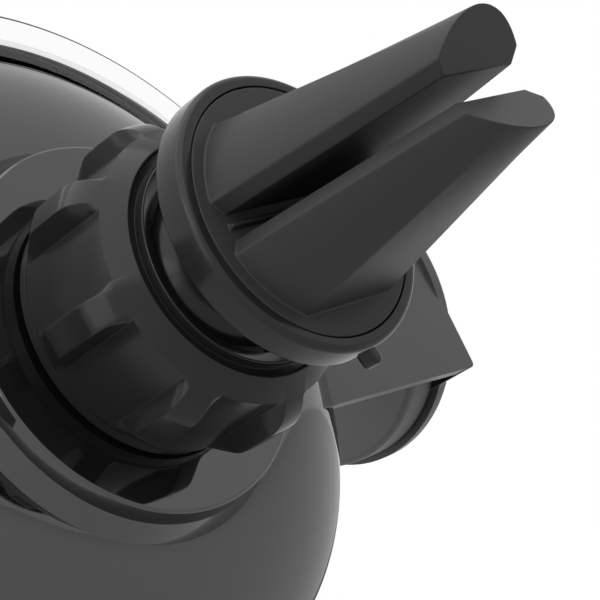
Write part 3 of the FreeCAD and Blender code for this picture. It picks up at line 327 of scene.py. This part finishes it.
def makeRearShell(sizes):
    # One closed profile, turned: the boss's floor and edge, the dome, the rim's bead, then the wall's inside.
    hole, edge, rimDepth = sizes["hole"], sizes["edge"], sizes["rimDepth"]
    bead, inside = sizes["bead"], sizes["inside"]
    innerEdge = edge - sizes["wall"]
    head = roundedProfile([
        (hole, inside["floorBack"], 0), (hole, sizes["floorDepth"], sizes["floorRound"]),
        sizes["lip"], sizes["step"], (*sizes["base"], 0)], sizes["headSteps"], closed=False)
    beadInner, innerRound = bead["inner"]
    beadOuter, outerRound = bead["outer"]
    rim = roundedProfile([
        (edge, rimDepth, 0), (beadInner, rimDepth, bead["foot"]), (beadInner, bead["depth"], innerRound),
        (beadOuter, bead["depth"], outerRound), (beadOuter, bead["back"], bead["foot"]),
        (innerEdge, bead["back"], 0)], sizes["rimSteps"], closed=False)
    wall = np.array([
        (innerEdge, inside["rim"]), (innerEdge - inside["turnIn"], inside["turnDepth"]),
        (inside["wellOuter"], inside["wellDepth"]), (inside["wellInner"], inside["wellDepth"]),
        (inside["wellInner"], inside["floorBack"])])
    shell = lathe("rearShell", np.vstack([head[:-1], domeOutline(sizes), rim, wall]), sizes["segments"])
    facingOut(shell)
    settle(shell, glossBlack, "body_black", "holder", "rear_shell")


makeRearShell(shellPiece)
print("rear shell made")

nutPiece = {
    # the front lip, the groove round it and the front face
    "lipInner": (7.35, 7.4, 0.12), "lip": (8.4, 6.84, 0.1), "lipBack": 8.1, "lipBackRound": 0.08,
    "grooveInner": (8.47, 7.7, 0.06), "grooveOuter": (9.05, 7.7, 0.06), "front": (9.2, 7.27, 0.12),
    # the inside: the bore, the cone in front of it and the mouth
    "bore": 9.7, "boreEase": 0.1, "coneDepth": 11.5, "coneRound": 0.3, "mouth": (8.15, 8.3, 0.1),
    "mouthRound": 0.05, "headSteps": 5,
    # a rib along the depth: up from the band in an arc, level to the tail, then down the heel
    "band": (10.7, 8.7), "shoulderDepth": 11.6, "shoulderArc": 3.4, "outer": 12.35, "tailDepth": 15.0,
    "heel": (10.6, 17.8), "heelLead": 3.0, "heelEase": 0.25, "back": (10.5, 18.8),
    # round the nut: half the angle between two ribs at their feet and at their tops
    "flutes": 8, "phase": 64.3, "footHalf": 14.25, "topHalf": 17.3, "sideEase": 0.15, "crisp": 30,
    # the points stand closer together about these places
    "ribStart": 0.02, "tailBefore": 0.3, "tailAfter": 0.5, "heelBeside": 0.2, "sideBeside": 0.45,
    "depthSteps": (33, 9, 8, 9, 4, 3), "angleSteps": (21, 8, 4, 8, 8),
}


def graded(stops, steps):
    # Values that run through the stops, with the given number of even steps from each to the next.
    stretches = [np.linspace(start, end, count + 1)[1:] for start, end, count in zip(stops, stops[1:], steps)]
    return np.concatenate([stops[:1], *stretches])


def ribCrown(depth, sizes):
    # The lower of two lines, with the corner between them eased: the shoulder's arc up from the band, which
    # runs on level at the outer radius, and the straight heel, carried on a way in front of the tail.
    outer, arc, tail, lead = sizes["outer"], sizes["shoulderArc"], sizes["tailDepth"], sizes["heelLead"]
    heelRadius, heelDepth = sizes["heel"]
    backRadius, backDepth = sizes["back"]
    ahead = np.clip(sizes["shoulderDepth"] - depth, 0, None)
    rise = outer - arc + np.sqrt(arc ** 2 - ahead ** 2)
    slope = (outer - heelRadius) / (heelDepth - tail)
    heel = np.interp(depth, [tail - lead, heelDepth, backDepth],
                     [outer + lead * slope, heelRadius, backRadius])
    return (rise + heel - np.sqrt((rise - heel) ** 2 + sizes["heelEase"] ** 2)) / 2


def fluteAngles(sizes):
    # Angles over one flute, from the middle of a rib to that of the next, and the share of a rib's height at
    # each: a straight climb from foot to top, eased at both.
    foot, top, beside = sizes["footHalf"], sizes["topHalf"], sizes["sideBeside"]
    halfFlute = graded([0, foot - beside, foot + beside, top - beside, top + beside, 180 / sizes["flutes"]],
                       sizes["angleSteps"])
    angle = np.concatenate([-halfFlute[:0:-1], halfFlute[:-1]])
    climb = (np.abs(angle) - foot) / (top - foot)
    soft = (sizes["sideEase"] / (top - foot)) ** 2
    share = (np.sqrt(climb ** 2 + soft) - np.sqrt((climb - 1) ** 2 + soft) + 1) / 2
    return angle, np.clip(share, 0, 1)


def makeClampNut(sizes):
    # The outside is a radius over angle and depth: the band's between the ribs, and the crown's on them. The
    # bore, the mouth, the front lip and its groove are a turned profile that leads up to it.
    heelDepth = sizes["heel"][1]
    backDepth = sizes["back"][1]
    tail, beside = sizes["tailDepth"], sizes["heelBeside"]
    depth = graded([sizes["band"][1] + sizes["ribStart"], sizes["shoulderDepth"], tail - sizes["tailBefore"],
                    tail + sizes["tailAfter"], heelDepth - beside, heelDepth + beside, backDepth],
                   sizes["depthSteps"])
    crown = ribCrown(depth, sizes)
    floor = np.minimum(crown, sizes["band"][0])
    oneFlute, oneShare = fluteAngles(sizes)
    flutes = np.arange(sizes["flutes"])[:, None]
    angle = np.radians(sizes["phase"] + flutes * 360 / sizes["flutes"] + oneFlute[None, :]).reshape(-1, 1)
    share = np.tile(oneShare, sizes["flutes"])[:, None]
    outside = floor[None, :] + (crown - floor)[None, :] * share
    bore, lipBack = sizes["bore"], sizes["lipBack"]
    mouthRadius, lipRadius = sizes["mouth"][0], sizes["lipInner"][0]
    head = roundedProfile([
        (bore, backDepth - sizes["boreEase"], 0), (bore, sizes["coneDepth"], sizes["coneRound"]),
        sizes["mouth"], (mouthRadius, lipBack, sizes["mouthRound"]),
        (lipRadius, lipBack, sizes["lipBackRound"]), sizes["lipInner"], sizes["lip"],
        sizes["grooveInner"], sizes["grooveOuter"], sizes["front"], (*sizes["band"], 0)],
        sizes["headSteps"], closed=False)
    rows = len(angle)
    radius = np.hstack([np.broadcast_to(head[:, 0], (rows, len(head))), outside,
                        np.full((rows, 1), bore + sizes["boreEase"])])
    away = np.broadcast_to(np.concatenate([head[:, 1], depth, [backDepth]]), radius.shape)
    points = np.stack([radius * np.cos(angle), -away, radius * np.sin(angle)], -1)
    nut = gridMesh("clampNut", points, closeRows=True, closeColumns=True)
    facingOut(nut, sizes["crisp"])
    settle(nut, satinBlack, "clip_black", "nut", "clamp_nut")


makeClampNut(nutPiece)
print("clamp nut made")

ringPiece = {
    "seam": 9.5, "outer": 10.5, "rimDepth": 2.5, "floorDepth": 1.86, "backDepth": 3.36, "neck": 8.9,
    "bore": 1.0, "seamRound": 0.08, "shoulderRound": 0.5, "rimRound": 0.2, "neckRound": 0.3,
    "boreRound": 0.05, "floorRound": 0.1, "steps": 8, "segments": 288,
}
keyPiece = {
    "from": 8.9, "to": 11.7, "angle": -103.0, "radius": 0.5, "depth": ringPiece["floorDepth"], "length": 1.3,
    "round": 0.2, "steps": 5, "segments": 48,
}


def makeClipRing(sizes):
    # The cup's closed profile, turned.
    seam, outer, neck, bore = sizes["seam"], sizes["outer"], sizes["neck"], sizes["bore"]
    floorDepth, backDepth = sizes["floorDepth"], sizes["backDepth"]
    profile = roundedProfile([
        (seam, floorDepth, sizes["floorRound"]), (seam, 0, sizes["seamRound"]),
        (outer, 0, sizes["shoulderRound"]), (outer, sizes["rimDepth"], sizes["rimRound"]),
        (neck, backDepth, sizes["neckRound"]), (bore, backDepth, sizes["boreRound"]),
        (bore, floorDepth, sizes["boreRound"])], sizes["steps"])
    ring = lathe("clipRing", profile, sizes["segments"])
    facingOut(ring)
    settle(ring, satinBlack, "clip_black", "clip", "clip_ring")


def makeKeyPeg(sizes):
    # A round-ended bar that points out from the cup. A section, from the bar's middle out over its edge and
    # back, is carried round two half circles, which stand apart by the bar's straight length.
    turn = np.linspace(0, 2 * math.pi, sizes["segments"], endpoint=False)[:, None]
    reach = (sizes["to"] + sizes["from"]) / 2
    half = (sizes["to"] - sizes["from"]) / 2 - sizes["radius"]
    radius, length, rounding = sizes["radius"], sizes["length"], sizes["round"]
    section = roundedProfile([(0, 0, 0), (radius, 0, rounding), (radius, length, rounding), (0, length, 0)],
                             sizes["steps"], closed=False)
    along = reach + np.sign(np.cos(turn)) * half + section[:, 0][None, :] * np.cos(turn)
    across = section[:, 0][None, :] * np.sin(turn)
    depth = np.broadcast_to(sizes["depth"] + section[:, 1], along.shape)
    angle = math.radians(sizes["angle"])
    points = np.stack([along * math.cos(angle) - across * math.sin(angle), -depth,
                       along * math.sin(angle) + across * math.cos(angle)], -1)
    peg = gridMesh("keyPeg", points, closeRows=True)
    facingOut(peg)
    settle(peg, satinBlack, "clip_black", "clip")


makeClipRing(ringPiece)
makeKeyPeg(keyPiece)
print("clip ring and its key peg made")

trimPiece = {
    "strip": [(29.45, 28.15, 0.7), (31.95, 28.15, 0.2), (31.95, 30.0, 0.1), (31.3, 30.0, 0.08),
              (31.3, 28.85, 0.05), (29.75, 28.85, 0.05), (29.75, 30.0, 0.08), (28.75, 30.0, 0.1),
              (28.85, 29.3, 0.2)],
    "collar": [(31.97, 28.35, 0.05), (32.2, 28.35, 0.08), (32.2, 30.3, 0.1), (31.27, 30.3, 0.02),
               (31.27, 30.02, 0.02), (31.97, 30.02, 0.02)],
    "stripSteps": 6, "collarSteps": 4, "segments": 160, "sweep": 132.0,
}


def makeBrowTrim(sizes):
    # The plated strip, a shallow channel open towards the driver, and outside it the cover's thin black edge.
    segments, sweep = sizes["segments"], sizes["sweep"]
    strip = sector("browTrim", roundedProfile(sizes["strip"], sizes["stripSteps"]), segments, sweep)
    settle(strip, chrome, "trim_chrome", "holder", "brow_trim")
    collar = sector("browEdge", roundedProfile(sizes["collar"], sizes["collarSteps"]), segments, sweep)
    settle(collar, glossBlack, "body_black", "holder")


makeBrowTrim(trimPiece)
print("brow trim made")

softPieces = {
    "clipInsert": {"node": "clip_insert", "body": "clip", "slot": "clip_black", "finish": mattBlack,
                   "round": 0.12},
    "leftArm": {"node": "left_arm", "body": "left_side", "slot": "body_black", "finish": silkBlack,
                "round": 0.35, "corner": 0.8},
    "rightArm": {"node": "right_arm", "body": "right_side", "slot": "body_black", "finish": silkBlack,
                 "round": 0.35, "corner": 0.8},
    "footSlider": {"node": "foot_slider", "body": "foot", "slot": "body_black", "finish": glossBlack,
                   "round": 0.15},
    "frontCover": {"node": "front_cover", "body": "holder", "slot": "body_black", "finish": glossBlack,
                   "round": 0.15, "shortest": 0.6},
}
softEdge = {
    "merge": 0.002, "level": 0.6, "from": 28, "shortest": 0, "steps": 3, "crisp": 50, "flatWeight": 100,
    "corner": 0, "cornerFrom": 50, "cornerSteps": 5, "reach": 1.0, "straight": 0.98,
}


def roundOver(work, edges, size, steps):
    bmesh.ops.bevel(work, geom=edges, offset=size * mm, offset_type="OFFSET", segments=steps, profile=0.5,
                    affect="EDGES", clamp_overlap=True)


def steeper(edge, angle):
    return edge.calc_face_angle(0) > math.radians(angle)


def outerCorners(work, sizes):
    # The edges along the depth within reach of the node's far side, with one end within reach of its rear.
    far = max(abs(vert.co.x) for vert in work.verts) - sizes["reach"] * mm
    rear = max(vert.co.y for vert in work.verts) - sizes["reach"] * mm
    found = []
    for edge in work.edges:
        start, end = (vert.co for vert in edge.verts)
        alongDepth = abs(start.y - end.y) > sizes["straight"] * edge.calc_length()
        outermost = min(abs(start.x), abs(end.x)) > far and max(start.y, end.y) > rear
        if alongDepth and outermost and steeper(edge, sizes["cornerFrom"]):
            found.append(edge)
    return found


def softened(name, sizes):
    # A merged copy of a node, its level facets joined. Its outermost corners are rounded by corner, then all
    # edges steeper than from and longer than shortest by round. Weighted normals keep its flat faces flat.
    work = bmesh.new()
    work.from_mesh(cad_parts[sizes["node"]].data)
    bmesh.ops.remove_doubles(work, verts=work.verts, dist=sizes["merge"] * mm)
    level = math.radians(sizes["level"])
    bmesh.ops.dissolve_limit(work, angle_limit=level, verts=work.verts, edges=work.edges)
    if sizes["corner"]:
        roundOver(work, outerCorners(work, sizes), sizes["corner"], sizes["cornerSteps"])
    edges = [edge for edge in work.edges
             if steeper(edge, sizes["from"]) and edge.calc_length() > sizes["shortest"] * mm]
    roundOver(work, edges, sizes["round"], sizes["steps"])
    mesh = bpy.data.meshes.new(name)
    work.to_mesh(mesh)
    work.free()
    shadeSmooth(mesh, sizes["crisp"])
    piece = addObject(name, mesh)
    evenShading = piece.modifiers.new("evenShading", "WEIGHTED_NORMAL")
    evenShading.keep_sharp = True
    evenShading.weight = sizes["flatWeight"]
    return piece


for name, sizes in softPieces.items():
    piece = softened(name, {**softEdge, **sizes})
    settle(piece, sizes["finish"], sizes["slot"], sizes["body"], sizes["node"])
    print(name, "edges rounded")

springPiece = {"offset": 11.0, "depth": 34.0, "top": 19.4, "foot": 3.0, "slim": 0.16, "eye": 0.8, "ease": 1.2}


def makeSpring(side, sign, sizes):
    # A copy of the coil, which runs from the cover's peg to the foot's. The real coil stretches as the foot
    # slides out, but this copy is not made to follow the foot. Between its eyes it is drawn in towards its
    # own line by the share slim, eased at each end, to clear the cam pin.
    node = side + "_spring"
    spring = addObject(side + "Spring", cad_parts[node].data.copy())
    count = len(spring.data.vertices)
    places = np.empty(count * 3, np.float32)
    spring.data.vertices.foreach_get("co", places)
    places = places.reshape(count, 3)
    line = np.array([sign * sizes["offset"] * mm, -sizes["depth"] * mm])
    height = places[:, 2] / mm
    aboveFoot = np.clip((height - sizes["foot"] - sizes["eye"]) / sizes["ease"], 0, 1)
    belowTop = np.clip((sizes["top"] - sizes["eye"] - height) / sizes["ease"], 0, 1)
    share = 1 - sizes["slim"] * aboveFoot * belowTop
    places[:, :2] = line + (places[:, :2] - line) * share[:, None]
    spring.data.vertices.foreach_set("co", places.ravel())
    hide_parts(node)
    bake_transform(spring)


makeSpring("left", -1, springPiece)
makeSpring("right", 1, springPiece)
print("springs made")

# The camera's place, in metres, and its own three directions, solved from the photo's circles.
view = {
    "place": (0.1028, 0.0854, -0.0245), "right": (-0.6356, 0.6386, -0.4338), "up": (-0.1916, 0.4139, 0.8899),
    "back": (0.7478, 0.6488, -0.1408), "lens": 120, "sensor": 36, "near": 0.005, "far": 20,
}
# The room, in metres and watts. The lamps point at the clip.
backdrop = {"lit": 0.25, "seen": 1.0}
floorSheet = {"side": 1.5, "height": -0.075, "colour": (0.45, 0.45, 0.45), "roughness": 0.9, "seen": 0.85,
              "mirrored": 0.45}
lamps = {
    "key": {"place": (0.25, 0.30, 0.70), "size": 1.8, "power": 9.0},
    "fill": {"place": (0.8, 0.2, 0.15), "size": 0.9, "power": 2.0},
}


def makeCamera(sizes):
    data = bpy.data.cameras.new("camera")
    data.lens = sizes["lens"]
    data.sensor_width = sizes["sensor"]
    data.clip_start = sizes["near"]
    data.clip_end = sizes["far"]
    camera = addObject("camera", data)
    turn = Matrix((sizes["right"], sizes["up"], sizes["back"])).transposed()
    camera.matrix_world = Matrix.Translation(Vector(sizes["place"])) @ turn.to_4x4()
    bpy.context.scene.camera = camera


def makeLamp(name, sizes):
    data = bpy.data.lights.new(name, "AREA")
    data.shape = "DISK"
    data.size = sizes["size"]
    data.energy = sizes["power"]
    lamp = addObject(name, data)
    lamp.location = sizes["place"]
    lamp.rotation_euler = (-Vector(sizes["place"])).to_track_quat("-Z", "Y").to_euler()


def addMath(nodes, links, operation, first, second):
    # first is a socket, and second a socket or a number.
    step = nodes.new("ShaderNodeMath")
    step.operation = operation
    links.new(first, step.inputs[0])
    if isinstance(second, float):
        step.inputs[1].default_value = second
    else:
        links.new(second, step.inputs[1])
    return step.outputs[0]


def makeWorld(sizes):
    # The world lights the object softly, and is white to the camera and in reflections.
    world = bpy.data.worlds.new("studio")
    bpy.context.scene.world = world
    world.use_nodes = True
    nodes, links = world.node_tree.nodes, world.node_tree.links
    rays = nodes.new("ShaderNodeLightPath").outputs
    mirrored = addMath(nodes, links, "MAXIMUM", rays["Is Glossy Ray"], rays["Is Transmission Ray"])
    shown = addMath(nodes, links, "MAXIMUM", mirrored, rays["Is Camera Ray"])
    level = nodes.new("ShaderNodeMapRange")
    level.inputs["To Min"].default_value = sizes["lit"]
    level.inputs["To Max"].default_value = sizes["seen"]
    links.new(shown, level.inputs["Value"])
    background = nodes["Background"]
    background.inputs["Color"].default_value = (1, 1, 1, 1)
    links.new(level.outputs["Result"], background.inputs["Strength"])


def makeFloor(sizes):
    # A pale matt sheet. It glows to the camera, which brings its lit part up to white and keeps the shadow,
    # and about half as much in the object's reflections.
    side, height = sizes["side"], sizes["height"]
    corners = [(-side, -side, height), (side, -side, height), (side, side, height), (-side, side, height)]
    mesh = bpy.data.meshes.new("floor")
    mesh.from_pydata(corners, [], [(0, 1, 2, 3)])
    floor = addObject("floor", mesh)
    material, nodes, links, shader = newMaterial("paleFloor")
    shader.inputs["Base Color"].default_value = (*sizes["colour"], 1)
    shader.inputs["Roughness"].default_value = sizes["roughness"]
    shader.inputs["Emission Color"].default_value = (1, 1, 1, 1)
    rays = nodes.new("ShaderNodeLightPath").outputs
    mirrored = addMath(nodes, links, "MAXIMUM", rays["Is Glossy Ray"], rays["Is Transmission Ray"])
    seenGlow = addMath(nodes, links, "MULTIPLY", rays["Is Camera Ray"], sizes["seen"])
    mirroredGlow = addMath(nodes, links, "MULTIPLY", mirrored, sizes["mirrored"])
    glow = addMath(nodes, links, "ADD", seenGlow, mirroredGlow)
    links.new(glow, shader.inputs["Emission Strength"])
    mesh.materials.append(material)


makeCamera(view)
makeWorld(backdrop)
makeFloor(floorSheet)
for name, sizes in lamps.items():
    makeLamp(name, sizes)
bpy.context.scene.view_settings.view_transform = "Standard"
print("camera, light and floor set")
